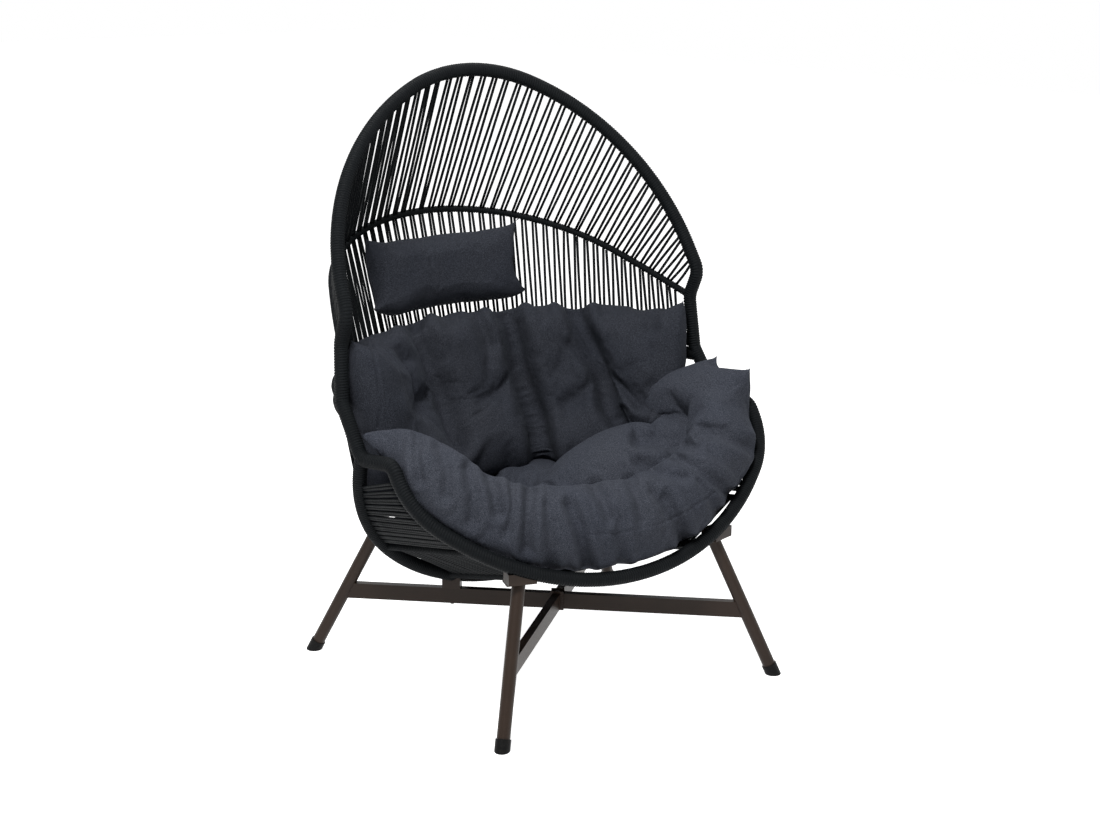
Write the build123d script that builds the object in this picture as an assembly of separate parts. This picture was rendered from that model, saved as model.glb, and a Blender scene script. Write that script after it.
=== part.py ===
from build123d import *
from math import atan2, cos, hypot, radians, sin, sqrt
import os

# A free-standing egg chair for one person: a deep steel-tube basket and a tall hood, both laced with cord,
# on four splayed legs, with a loose seat cushion, a back cushion and a head pillow.
# Millimetres. +Z is up, the sitter faces -Y, and +X is to the right seen from the front.
# The origin is on the floor, under the middle of the overall box.

# Clearances
weld_gap = 0.2            # between tubes and blocks that are welded together
wrap_gap = 0.2            # between a tube and the cord wound on it
pass_gap = 0.8            # round a tube that passes through another tube's winding
cord_gap = 0.3            # between a strand's end and the winding that it goes round
bolt_gap = 0.3            # round a bolt's shank in its hole
soft_gap = 0.5            # between a cushion and what it rests on
overrun = 5               # how far a cutting tool runs past what it cuts

# Legs, feet and crossbars
front_foot_x = 404
front_foot_y = -478
rear_foot_x = 471
rear_foot_y = 318
leg_radius = 16
leg_wall = 1.6
front_leg_top = 350       # height of the front legs' level top ends
rear_leg_top = 334        # height of the rear legs' level top ends
bar_height = 169          # middle of the crossbars above the floor
bar_reach_share = 0.86    # the bars meet the legs at this share of a foot's distance from the middle
bar_depth = 40
bar_width = 20
bar_wall = 1.6
foot_radius = 18.5
foot_length = 26          # of the cap, up the leg
foot_sole = 4             # cap thickness under the leg's end
foot_edge = 2.5
cradle_wall = 3           # U-shaped cradle that joins the half bars under the full bar
cradle_length = 34
cradle_rise = 6           # of its cheeks above the bars

# Frame tubes, cords and bolts
tube_radius = 11
tube_wall = 1.5
wrap_radius = 17.5        # outside of the cord wound on the frame tubes
rod_radius = 6            # side rails
rod_wall = 1.5
keel_radius = 9
hoop_radius = 6.5         # middle hoop of the hood
hoop_wall = 1.5
hoop_wrap_radius = 9.5
cord_radius = 3.25
bolt_radius = 3
bolt_head_radius = 5
bolt_head_height = 4

# Where hood and basket meet
seam_z = 732
seam_gap = 0.6            # between the two windings
seam_half_width = 527
seam_front_y = 16
seam_back_y = 396

# Basket
arm_corner_x = 530        # lower rear corner of the arm
arm_corner_y = -80
arm_corner_z = 615
arm_corner_bend = 45
arm_front_x = 523         # top front corner of the arm
arm_front_y = -214
arm_front_z = 632
arm_front_bend = 40
rim_run = 26              # straight stretch of the rim below the arm
rim_depth = 372           # from the arm's front corner down the sloping plane of the rim
rim_slope = radians(36)   # of that plane from the vertical
rim_crown_radius = 640
rib_depth = 452
rib_slope = radians(-20.8)
rib_crown_radius = 590
back_hoop_y = 345
back_hoop_z = 384

# Hood
knee_half_width = 518
knee_y = -4
knee_z = 941
knee_run = 60             # straight stretch of the arch above the knee
knee_tilt = radians(5)    # of that stretch, inwards
knee_bend = 45
apex_y = 291
apex_z = 1462.5
arch_crown_radius = 388
post_half_width = 518     # at the middle hoop's joints
post_y = 30
post_z = 870
post_bend = 60
mid_hoop_y = 490
mid_hoop_z = 1083
mid_hoop_tilt = radians(19.3)   # inwards, where it leaves the posts
mid_hoop_crown_radius = 469

# Where the basket's smaller tubes join the rim and the rib, as shares of those tubes' arcs
back_hoop_on_rib_share = 0.173
rail_on_rib_share = 0.2
rail_on_rim_share = 0.2
keel_on_rib_share = 0.36
keel_on_rim_share = 0.345
rod_wrap = 3              # thickness of the cord wound on the rails and the keels

# Plates and saddles that carry the basket on the legs and on the crossbars
plate_thick = 5
plate_length = 68
plate_width = 38
plate_bolt_offset = 27
plate_bolt_length = 20
saddle_width = 44
saddle_drop = 6           # of a saddle's top below the middle of the tube it holds
bar_saddle_on_rib_share = 0.366
bar_saddle_length = 46
bar_saddle_width = 28
bar_saddle_bolt_length = 54

# Cords: how many, and which stretch of each tube they are laced on
cord_pair_share = 0.2     # of the pitch, by which the cords of a row lean to each other
hood_cords = 100
hood_margin_share = 0.028
arch_margin_share = 0.05  # clears the bend at the knee
back_cords = 84
back_margin_share = 0.03
back_low_margin_share = 0.085
seam_bolt_gaps = (14, 28, 42, 56, 70)   # gaps between the back cords that the seam's bolts go in
side_cords = 22
side_pair_share = 0.14
side_on_rib_shares = (0.05, 0.185)
side_on_rim_shares = (0.008, 0.185)
bottom_cords = 30
bottom_margin_share = 0.08
rear_bottom_cords = 60
rear_bottom_hoop_share = 0.1   # left free at each end of the back hoop
rear_bottom_rib_share = 0.22   # left free at each end of the rib
saddle_room = 54               # cords keep this far from the middle of a saddle

# Seat cushion: stations of the front roll from its middle to its right tip, each a point and a radius
roll_stations = (
    (0, -355, 446, 92),
    (90, -353, 449, 86),
    (170, -345, 456, 91),
    (250, -324, 476, 83),
    (322, -296, 504, 84),
    (372, -264, 538, 76),
    (412, -234, 576, 74),
    (448, -168, 632, 52),
    (458, -118, 660, 26),
)
# Its pad: place along Y, half width, then the heights of the side seam, the bottom and the top
pad_stations = (
    (-335, 290, 436, 376, 470),
    (-160, 365, 424, 300, 452),
    (50, 368, 404, 245.8, 438),
    (205, 290, 398, 305, 438),
    (285, 180, 398, 364, 432),
)

# Back cushion and head pillow: both follow the round back wall
back_cushion_radius = 435
back_cushion_z = 642
back_cushion_height = 392
back_cushion_thick = 128
back_cushion_lean = 10
back_cushion_end_degrees = 73
back_channel_degrees = (-62, -28, 12, 36, 64)
lobe_shares = (0.3, 0.7)      # full sections between two channels
channel_thick_share = 0.68
channel_height_share = 0.95
back_end_thick_share = 0.45
back_end_height_share = 0.86
pillow_radius = 500
pillow_y = 397.5
pillow_z = 938
pillow_turn = -4.5            # degrees off the middle, as it lies
pillow_height = 190
pillow_thick = 92
pillow_lean = 15.8
pillow_half_degrees = 26
pillow_end_thick_share = 0.3
pillow_shoulder_share = 0.75  # of the half width, where the pillow starts to thin
pillow_shoulder_thick_share = 0.82
pillow_waist_share = 0.95     # height of its middle, of the height of its ends
cushion_corner_share = 0.42   # corner radius of a cushion's section, of its thickness


def on_both_sides(piece):
    return [piece, mirror(piece, about=Plane.YZ)]


def tube_along(path, outer_radius, bore_radius):
    start = Plane(origin=path @ 0, z_dir=path % 0)
    section = Circle(outer_radius)
    if bore_radius > 0:
        section = section - Circle(bore_radius)
    return sweep(start * section, path=path)


def place_on(path, share):
    """The point and the direction at a share of a path's length."""
    length = share * path.length
    mode = PositionMode.LENGTH
    return path.position_at(length, position_mode=mode), path.tangent_at(length, position_mode=mode)


def hanging_curve(plane, half_width, run, tilt, depth, crown_radius):
    """Two side arcs and a crown arc, tangent to each other and to a straight run from each end.

    The ends are at (-half_width, 0) and (half_width, 0) of the plane, and the crown's middle is at (0, depth).
    """
    end = Vector(half_width - run * sin(tilt), run * cos(tilt))
    inward = Vector(-cos(tilt), -sin(tilt))
    crown_centre = Vector(0, depth - crown_radius)
    reach = end - crown_centre
    side_radius = (crown_radius**2 - reach.length**2) / (2 * (inward.dot(reach) + crown_radius))
    side_centre = end + inward * side_radius
    join_way = (crown_centre - side_centre).normalized()
    if side_radius < crown_radius:
        join_way = join_way * -1
    join = crown_centre + join_way * crown_radius
    middle_way = (join_way - inward).normalized()
    side_middle = side_centre + middle_way * side_radius

    def at(point, side):
        return plane.from_local_coords(Vector(side * point.X, point.Y))

    top = Vector(0, depth)
    left = ThreePointArc(at(end, -1), at(side_middle, -1), at(join, -1))
    crown = ThreePointArc(at(join, -1), at(top, 1), at(join, 1))
    right = ThreePointArc(at(join, 1), at(side_middle, 1), at(end, 1))
    return Wire([left, crown, right])


def arch_curve():
    lean = atan2(apex_y - knee_y, apex_z - knee_z)
    plane = Plane(origin=(0, knee_y, knee_z), x_dir=(1, 0, 0), z_dir=(0, -cos(lean), sin(lean)))
    height = hypot(apex_y - knee_y, apex_z - knee_z)
    return hanging_curve(plane, knee_half_width, knee_run, knee_tilt, height, arch_crown_radius)


def rim_curve():
    plane = Plane(origin=(0, arm_front_y, arm_front_z), x_dir=(1, 0, 0), z_dir=(0, cos(rim_slope), -sin(rim_slope)))
    return hanging_curve(plane, arm_front_x, rim_run, 0, rim_depth, rim_crown_radius)


def rib_curve():
    plane = Plane(origin=(0, arm_corner_y, arm_corner_z), x_dir=(1, 0, 0), z_dir=(0, cos(rib_slope), -sin(rib_slope)))
    return hanging_curve(plane, arm_corner_x, 0, 0, rib_depth, rib_crown_radius)


def middle_hoop_curve():
    slope = atan2(mid_hoop_z - post_z, mid_hoop_y - post_y)
    plane = Plane(origin=(0, post_y, post_z), x_dir=(1, 0, 0), z_dir=(0, -sin(slope), cos(slope)))
    depth = hypot(mid_hoop_y - post_y, mid_hoop_z - post_z)
    return hanging_curve(plane, post_half_width, 0, mid_hoop_tilt, depth, mid_hoop_crown_radius)


def rod_between(foot, head, radius, bore_radius=0):
    way = (head - foot).normalized()
    rod = Solid.make_cylinder(radius, (head - foot).length, Plane(origin=foot, z_dir=way))
    if bore_radius > 0:
        rod = rod - Solid.make_cylinder(bore_radius, (head - foot).length, Plane(origin=foot, z_dir=way))
    return rod


def without(piece, *cutters):
    for cutter in cutters:
        piece = piece - cutter
    return piece


def leg_line(side, foot_x, foot_y):
    """A foot's middle on the floor, and the leg's climb from it for each millimetre of height."""
    foot = Vector(side * foot_x, foot_y, 0)
    middle = Vector(0, cross_y, 0)
    climb = (middle - foot) * ((1 - bar_reach_share) / bar_height) + Vector(0, 0, 1)
    return foot, climb


def leg_solid(side, foot_x, foot_y, top_z, radius):
    foot, climb = leg_line(side, foot_x, foot_y)
    rod = rod_between(foot - climb * foot_length, foot + climb * (top_z + foot_length), radius)
    return split(rod, bisect_by=Plane.XY.offset(top_z), keep=Keep.BOTTOM)


def leg(side, foot_x, foot_y, top_z):
    outside = leg_solid(side, foot_x, foot_y, top_z, leg_radius)
    inside = leg_solid(side, foot_x, foot_y, top_z + overrun, leg_radius - leg_wall)
    return split(outside - inside, bisect_by=Plane.XY.offset(foot_sole + weld_gap), keep=Keep.TOP)


def foot_cap(side, foot_x, foot_y):
    foot, climb = leg_line(side, foot_x, foot_y)
    body = rod_between(foot - climb * foot_length, foot + climb * foot_length, foot_radius)
    body = split(body, bisect_by=Plane.XY, keep=Keep.TOP)
    body = fillet(body.edges().group_by(Axis.Z)[0], foot_edge)
    socket = leg_solid(side, foot_x, foot_y, foot_length * 2, leg_radius + weld_gap)
    return body - split(socket, bisect_by=Plane.XY.offset(foot_sole), keep=Keep.TOP)


def leg_top(side, foot_x, foot_y, top_z):
    foot, climb = leg_line(side, foot_x, foot_y)
    return foot + climb * top_z


def bar_frame(way):
    return Plane(origin=(0, cross_y, bar_height), x_dir=way, z_dir=(0, 0, 1))


def box_bar(way, near, far):
    """A rectangular tube along a bar's line, from one distance to another from the middle."""
    outside = Box(far - near, bar_width, bar_depth)
    inside = Box(far - near + overrun, bar_width - 2 * bar_wall, bar_depth - 2 * bar_wall)
    return bar_frame(way) * (Pos((near + far) / 2, 0, 0) * (outside - inside))


def bar_saddle_place(side):
    """Where the rib passes over a bar: the place on the bar's top, and the bar's direction."""
    point = place_on(rib, bar_saddle_on_rib_share)[0]
    reach = (Vector(-point.X, point.Y, 0) - Vector(0, cross_y, 0)).dot(half_bar_way)
    way = Vector(side * half_bar_way.X, half_bar_way.Y, 0)
    return Vector(0, cross_y, bar_height + bar_depth / 2) + way * reach, way


def bar_saddle_bolt_hole(side):
    place = bar_saddle_place(side)[0]
    return Pos(*place) * Cylinder(bolt_radius + bolt_gap, 4 * bar_depth)


def full_bar():
    return without(
        box_bar(full_bar_way, -rear_reach, front_reach),
        leg_solid(1, front_foot_x, front_foot_y, front_leg_top, leg_radius + weld_gap),
        leg_solid(-1, rear_foot_x, rear_foot_y, rear_leg_top, leg_radius + weld_gap),
        bar_frame(full_bar_way) * Cylinder(bolt_radius + bolt_gap, bar_depth + overrun),
        bar_saddle_bolt_hole(-1),
    )


def half_bar(side, foot_x, foot_y, top_z, reach):
    room = Box(2 * cradle_length, bar_width + 2 * cradle_wall + 4 * weld_gap, bar_depth + overrun)
    return without(
        box_bar(half_bar_way * side, 0, reach),
        leg_solid(side, foot_x, foot_y, top_z, leg_radius + weld_gap),
        bar_frame(full_bar_way) * room,
        bar_saddle_bolt_hole(1),
    )


def bar_cradle():
    width = bar_width + 2 * weld_gap
    outside = Box(cradle_length, width + 2 * cradle_wall, bar_depth + cradle_rise + cradle_wall)
    outside = Pos(0, 0, (cradle_rise - cradle_wall) / 2) * outside
    room = Pos(0, 0, cradle_rise / 2) * Box(cradle_length + overrun, width, bar_depth + cradle_rise)
    hole = Cylinder(bolt_radius + bolt_gap, bar_depth * 2)
    return bar_frame(full_bar_way) * (outside - room - hole)


def bolt_up(place, length):
    """A bolt whose head hangs under the place and whose shank climbs from it."""
    shank = Solid.make_cylinder(bolt_radius, length, Plane(origin=place))
    head = Solid.make_cylinder(bolt_head_radius, bolt_head_height, Plane(origin=place, z_dir=(0, 0, -1)))
    return shank + head


def cross_bolt():
    under = Vector(0, cross_y, bar_height - bar_depth / 2 - cradle_wall)
    return bolt_up(under, bar_depth + cradle_wall + bolt_head_height)


def cross_nut():
    nut = extrude(RegularPolygon(bolt_head_radius, 6), bolt_head_height)
    nut = nut - Cylinder(bolt_radius + bolt_gap, bar_depth)
    return Pos(0, cross_y, bar_height + bar_depth / 2) * nut


def bar_saddle(side):
    place, way = bar_saddle_place(side)
    point = place_on(rib, bar_saddle_on_rib_share)[0]
    height = point.Z - saddle_drop - place.Z
    block = Pos(0, 0, height / 2) * Box(bar_saddle_length, bar_saddle_width, height)
    block = Plane(origin=place, x_dir=way, z_dir=(0, 0, 1)) * block
    return without(block, tube_along(rib, wrap_radius + cord_gap, 0), bar_saddle_bolt_hole(side))


def bar_saddle_bolts():
    drop = Vector(0, 0, bar_depth)
    return [bolt_up(bar_saddle_place(side)[0] - drop, bar_saddle_bolt_length) for side in (-1, 1)]


def tube_over(top, path):
    """The point of a tube that is nearest to a leg's top seen from above, and the tube's level direction."""
    point, way = min(
        (place_on(path, step / tube_steps) for step in range(tube_steps + 1)),
        key=lambda place: hypot(place[0].X - top.X, place[0].Y - top.Y),
    )
    return point, Vector(way.X, way.Y, 0).normalized()


def plate_frame(top, path, z):
    way = tube_over(top, path)[1]
    return Plane(origin=(top.X, top.Y, z), x_dir=way, z_dir=(0, 0, 1))


def plate_bolt_holes(top, path):
    hole = Cylinder(bolt_radius + bolt_gap, 2 * plate_bolt_length)
    frame = plate_frame(top, path, top.Z + plate_thick)
    return [frame * (Pos(side * plate_bolt_offset, 0, 0) * hole) for side in (-1, 1)]


def leg_plate(top, path):
    plate = Pos(0, 0, plate_thick / 2) * Box(plate_length, plate_width, plate_thick)
    return without(plate_frame(top, path, top.Z) * plate, *plate_bolt_holes(top, path))


def leg_saddle(top, path):
    """A block from a leg's plate up round the underside of the wound tube."""
    point, way = tube_over(top, path)
    base = top.Z + plate_thick
    height = point.Z - saddle_drop - base
    block = Pos(0, 0, height / 2) * Box(plate_length, saddle_width, height)
    middle = Plane(origin=((top.X + point.X) / 2, (top.Y + point.Y) / 2, base), x_dir=way, z_dir=(0, 0, 1))
    return without(middle * block, tube_along(path, wrap_radius + cord_gap, 0), *plate_bolt_holes(top, path))


def plate_bolts(top, path):
    frame = plate_frame(top, path, top.Z)
    places = [frame.from_local_coords(Vector(side * plate_bolt_offset, 0, 0)) for side in (-1, 1)]
    return [bolt_up(place, plate_bolt_length) for place in places]


def seam_point(z):
    """Where the post above the seam, or the arm below it, passes a height on the right."""
    corner = Vector(seam_half_width, seam_front_y, seam_z)
    other = post_corner if z > seam_z else arm_corner
    return corner + (other - corner) * ((z - seam_z) / (other.Z - seam_z))


def seam_curve(z):
    end = seam_point(z)
    return Wire([ThreePointArc((-end.X, end.Y, z), (0, seam_back_y, z), (end.X, end.Y, z))])


def whole_path(curve, *corners, radii):
    """A curve with the same filleted legs added at both of its ends."""
    side = FilletPolyline(*corners, curve @ 1, radius=radii)
    return Wire(side.edges() + curve.edges() + mirror(side, about=Plane.YZ).edges())


def arch_path():
    curve = arch_curve()
    knee = curve @ 1 + (curve % 1) * knee_run
    foot = Vector(seam_half_width, seam_front_y, seam_z)
    foot = foot + (foot - post_corner).normalized() * wrap_radius
    return whole_path(curve, foot, post_corner, knee, radii=[post_bend, knee_bend])


def rim_path():
    top = Vector(seam_half_width, seam_front_y, seam_z)
    top = top + (top - arm_corner).normalized() * wrap_radius
    return whole_path(rim_curve(), top, arm_corner, arm_front, radii=[arm_corner_bend, arm_front_bend])


def hoop_between(end, back_y, back_z):
    return Wire([ThreePointArc((-end.X, end.Y, end.Z), (0, back_y, back_z), (end.X, end.Y, end.Z))])


def rod_line(rib_share, rim_share):
    foot, head = place_on(rib, rib_share)[0], place_on(rim_arc, rim_share)[0]
    return Wire([Line(foot, head)])


def lower_back_path():
    """The rib from the arm down to the back hoop, round the hoop, and up the rib again."""
    left = rib.trim(0, back_hoop_on_rib_share)
    right = rib.trim(1 - back_hoop_on_rib_share, 1)
    return Wire(left.edges() + back_hoop.edges() + right.edges())


def stubs(path, radius):
    """Short rods over both ends of a tube, to cut its way through the winding that it meets."""
    reach = 2 * wrap_radius
    start, end = path @ 0, path @ 1
    return [
        rod_between(start, start + (path % 0) * reach, radius),
        rod_between(end - (path % 1) * reach, end, radius),
    ]


def above_seam(piece):
    return split(piece, bisect_by=Plane.XY.offset(seam_z + seam_gap / 2), keep=Keep.TOP)


def below_seam(piece):
    return split(piece, bisect_by=Plane.XY.offset(seam_z - seam_gap / 2), keep=Keep.BOTTOM)


def frame_tube(path):
    return tube_along(path, tube_radius, tube_radius - tube_wall)


def winding(path, outer=wrap_radius, inner=tube_radius):
    return tube_along(path, outer, inner + wrap_gap)


def back_gap_ends(gap):
    """Upper and lower point of the middle of a gap between two back cords."""
    upper = back_margin_share + (1 - 2 * back_margin_share) * gap / back_cords
    lower = back_low_margin_share + (1 - 2 * back_low_margin_share) * gap / back_cords
    return place_on(basket_hoop, upper)[0], place_on(lower_back, lower)[0]


def seam_bolt_places():
    """Where the seam's bolt heads sit under the basket's hoop, each in the middle of a gap between cords."""
    hoop = basket_hoop.edges()[0]
    centre = hoop.arc_center
    drop = wrap_radius + bolt_head_height
    places = []
    for gap in seam_bolt_gaps:
        upper, lower = back_gap_ends(gap)
        level = upper + (lower - upper) * (drop / (upper.Z - lower.Z))
        outward = Vector(level.X - centre.X, level.Y - centre.Y, 0).normalized()
        places.append(centre + outward * hoop.radius - Vector(0, 0, wrap_radius))
    return places


def seam_bolt_holes():
    long = 4 * wrap_radius
    return [Solid.make_cylinder(bolt_radius + bolt_gap, long, Plane(origin=p)) for p in seam_bolt_places()]


def seam_bolts():
    return [bolt_up(place, 3 * wrap_radius) for place in seam_bolt_places()]


def setback(way, tube_way, radius):
    """How far before a tube's middle line a cord's end stays clear of the tube's winding."""
    along = abs(way.dot(tube_way))
    return (radius + cord_gap + cord_radius * along) / sqrt(1 - along**2)


def cord_between(one, other, one_radius, other_radius):
    start, start_way = one
    end, end_way = other
    way = (end - start).normalized()
    start = start + way * setback(way, start_way, one_radius)
    end = end - way * setback(way, end_way, other_radius)
    return rod_between(start, end, cord_radius)


def cord_row(count, one, other, lean=cord_pair_share, other_lean=-cord_pair_share, clear_of=()):
    """A row of cords between stretches of two tubes, each given as path, first share, last share and radius."""
    cords = []
    for place in range(count):
        turn = (-1) ** place
        ends = []
        for (path, first, last, radius), shift in ((one, lean), (other, other_lean)):
            share = first + (last - first) * (place + 0.5 + shift * turn) / count
            ends.append(place_on(path, share))
        if all((ends[0][0] - point).length > saddle_room for point in clear_of):
            cords.append(cord_between(ends[0], ends[1], one[3], other[3]))
    return cords


def upper_cords():
    post_share = (seam_point(post_z) - seam_point(seam_z)).length / arch.length
    first = post_share + arch_margin_share
    row = (arch, first, 1 - first, wrap_radius)
    if (arch @ 0).X > 0:
        row = (arch, 1 - first, first, wrap_radius)
    return cord_row(hood_cords, row, (mid_hoop, hood_margin_share, 1 - hood_margin_share, hoop_wrap_radius))


def lower_cords():
    margin = hood_margin_share
    return cord_row(
        hood_cords,
        (mid_hoop, margin, 1 - margin, hoop_wrap_radius),
        (hood_hoop, margin, 1 - margin, wrap_radius),
        -cord_pair_share,
        cord_pair_share,
    )


def back_row():
    margin = back_margin_share
    top = (basket_hoop, margin, 1 - margin, wrap_radius)
    low_margin = back_low_margin_share
    return cord_row(back_cords, top, (lower_back, low_margin, 1 - low_margin, wrap_radius))


def rear_bottom_row():
    hoop = (back_hoop, rear_bottom_hoop_share, 1 - rear_bottom_hoop_share, wrap_radius)
    low = (rib, rear_bottom_rib_share, 1 - rear_bottom_rib_share, wrap_radius)
    saddles = [tube_over(top, back_hoop)[0] for top in rear_tops]
    return cord_row(rear_bottom_cords, hoop, low, clear_of=saddles)


def side_row():
    """The left side's cords."""
    behind = (rib, *side_on_rib_shares, wrap_radius)
    front = (rim_arc, *side_on_rim_shares, wrap_radius)
    return cord_row(side_cords, behind, front, side_pair_share, side_pair_share)


def bottom_row():
    span = (bottom_margin_share, 1 - bottom_margin_share)
    left_rail = (rail, *span, rod_radius + rod_wrap)
    left_keel = (keel, *span, keel_radius + rod_wrap)
    right_keel = (mirrored_line(keel), *span, keel_radius + rod_wrap)
    outer = cord_row(bottom_cords, left_rail, left_keel)
    middle = cord_row(bottom_cords, left_keel, right_keel)
    return outer + [mirror(cord, about=Plane.YZ) for cord in outer] + middle


def mirrored_line(line):
    start, end = line @ 0, line @ 1
    return Wire([Line((-start.X, start.Y, start.Z), (-end.X, end.Y, end.Z))])


def roll_sections():
    points = [Vector(-x, y, z) for x, y, z, radius in reversed(roll_stations[1:])]
    points += [Vector(x, y, z) for x, y, z, radius in roll_stations]
    radii = [radius for *point, radius in reversed(roll_stations[1:])]
    radii += [radius for *point, radius in roll_stations]
    sections = []
    for place, point in enumerate(points):
        before = points[max(place - 1, 0)]
        after = points[min(place + 1, len(points) - 1)]
        sections.append(Plane(origin=point, x_dir=(0, 0, 1), z_dir=after - before) * Circle(radii[place]))
    return sections


def pad_section(y, half_width, seam, bottom, top):
    under = ThreePointArc((-half_width, seam), (0, bottom), (half_width, seam))
    over = ThreePointArc((half_width, seam), (0, top), (-half_width, seam))
    return Plane(origin=(0, y, 0), x_dir=(1, 0, 0), z_dir=(0, -1, 0)) * make_face([under, over])


def seat_cushion():
    """A front roll sewn to a pad whose underside lies flat on the cords between the keels."""
    cushion = loft(roll_sections()) + loft([pad_section(*station) for station in pad_stations])
    slope = keel % 0
    up = Vector(0, slope.Z, -slope.Y).normalized()
    under = Plane(origin=keel @ 0 + up * (cord_radius + soft_gap), x_dir=(1, 0, 0), z_dir=up)
    return split(cushion, bisect_by=under, keep=Keep.TOP)


def wall_cushion(radius, centre_y, z, lean, sections):
    """A cushion bent round the back wall, lofted through upright sections of (degrees, thickness, height)."""
    faces = []
    for degrees, thick, height in sections:
        turn, tip = radians(degrees), radians(lean)
        outward = Vector(sin(turn), cos(turn), 0)
        place = Plane(
            origin=outward * radius + Vector(0, centre_y, z),
            x_dir=outward * cos(tip) - Vector(0, 0, sin(tip)),
            z_dir=(cos(turn), -sin(turn), 0),
        )
        faces.append(place * RectangleRounded(thick, height, thick * cushion_corner_share))
    return loft(faces)


def back_cushion():
    full = (back_cushion_thick, back_cushion_height)
    channel = (back_cushion_thick * channel_thick_share, back_cushion_height * channel_height_share)
    end = (back_cushion_thick * back_end_thick_share, back_cushion_height * back_end_height_share)
    sections = [(-back_cushion_end_degrees, *end)]
    for first, last in zip(back_channel_degrees, back_channel_degrees[1:]):
        sections.append((first, *channel))
        sections += [(first + (last - first) * share, *full) for share in lobe_shares]
    sections += [(back_channel_degrees[-1], *channel), (back_cushion_end_degrees, *end)]
    centre_y = seam_back_y - seam_hoop_radius
    return wall_cushion(back_cushion_radius, centre_y, back_cushion_z, back_cushion_lean, sections)


def head_pillow():
    shoulder = pillow_half_degrees * pillow_shoulder_share
    end = (pillow_thick * pillow_end_thick_share, pillow_height)
    between = (pillow_thick * pillow_shoulder_thick_share, pillow_height * (1 + pillow_waist_share) / 2)
    middle = (pillow_thick, pillow_height * pillow_waist_share)
    steps = (
        (-pillow_half_degrees, end),
        (-shoulder, between),
        (0, middle),
        (shoulder, between),
        (pillow_half_degrees, end),
    )
    sections = [(pillow_turn + degrees, *size) for degrees, size in steps]
    return wall_cushion(pillow_radius, pillow_y - pillow_radius, pillow_z, pillow_lean, sections)


# Places worked out from the sizes
tube_steps = 400          # points looked at along a tube to find the one over a leg
cross_y = front_foot_y + (rear_foot_y - front_foot_y) * front_foot_x / (front_foot_x + rear_foot_x)
full_bar_way = Vector(front_foot_x, front_foot_y - cross_y, 0).normalized()
half_bar_way = Vector(rear_foot_x, rear_foot_y - cross_y, 0).normalized()
front_reach = bar_reach_share * hypot(front_foot_x, front_foot_y - cross_y)
rear_reach = bar_reach_share * hypot(rear_foot_x, rear_foot_y - cross_y)
seam_depth = seam_back_y - seam_front_y
seam_hoop_radius = (seam_half_width**2 + seam_depth**2) / (2 * seam_depth)
post_corner = Vector(post_half_width, post_y, post_z)
arm_corner = Vector(arm_corner_x, arm_corner_y, arm_corner_z)
arm_front = Vector(arm_front_x, arm_front_y, arm_front_z)
arch = arch_path()
rim = rim_path()
rim_arc = rim_curve()
rib = rib_curve()
hood_hoop = seam_curve(seam_z + wrap_radius + seam_gap / 2)
basket_hoop = seam_curve(seam_z - wrap_radius - seam_gap / 2)
mid_hoop = middle_hoop_curve()
back_hoop = hoop_between(place_on(rib, 1 - back_hoop_on_rib_share)[0], back_hoop_y, back_hoop_z)
lower_back = lower_back_path()
rail = rod_line(rail_on_rib_share, rail_on_rim_share)
keel = rod_line(keel_on_rib_share, keel_on_rim_share)
front_leg = (front_foot_x, front_foot_y, front_leg_top)
rear_leg = (rear_foot_x, rear_foot_y, rear_leg_top)
front_tops = [leg_top(side, *front_leg) for side in (-1, 1)]
rear_tops = [leg_top(side, *rear_leg) for side in (-1, 1)]


def base_parts():
    parts = {
        "crossbar_full": full_bar(),
        "crossbar_front_half": half_bar(-1, *front_leg, front_reach),
        "crossbar_rear_half": half_bar(1, *rear_leg, rear_reach),
        "crossbar_cradle": bar_cradle(),
        "cross_bolt": cross_bolt(),
        "cross_nut": cross_nut(),
        "bar_saddle_left": bar_saddle(-1),
        "bar_saddle_right": bar_saddle(1),
        "bar_saddle_bolts": bar_saddle_bolts(),
    }
    bolts = []
    for row, spot, tops, path in (("front", front_leg, front_tops, rim_arc), ("rear", rear_leg, rear_tops, back_hoop)):
        for side, name, top in ((-1, "left", tops[0]), (1, "right", tops[1])):
            parts[f"leg_{row}_{name}"] = leg(side, *spot)
            parts[f"foot_cap_{row}_{name}"] = foot_cap(side, *spot[:2])
            parts[f"leg_plate_{row}_{name}"] = leg_plate(top, path)
            parts[f"leg_saddle_{row}_{name}"] = leg_saddle(top, path)
            bolts += plate_bolts(top, path)
    parts["leg_saddle_bolts"] = bolts
    return parts


def hood_parts():
    bare = tube_along(arch, tube_radius + weld_gap, 0)
    wound = tube_along(arch, wrap_radius + cord_gap, 0)
    ways_through = stubs(hood_hoop, tube_radius + pass_gap) + stubs(mid_hoop, hoop_radius + pass_gap)
    holes = seam_bolt_holes()
    mid_tube = tube_along(mid_hoop, hoop_radius, hoop_radius - hoop_wall)
    mid_winding = winding(mid_hoop, hoop_wrap_radius, hoop_radius)
    return {
        "arch_tube": above_seam(frame_tube(arch)),
        "arch_winding": above_seam(without(winding(arch), *ways_through)),
        "hood_seam_hoop": without(frame_tube(hood_hoop), bare, *holes),
        "hood_seam_winding": without(winding(hood_hoop), wound, *holes),
        "middle_hoop": without(mid_tube, bare),
        "middle_hoop_winding": without(mid_winding, wound),
        "upper_cords": upper_cords(),
        "lower_cords": lower_cords(),
    }


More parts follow.
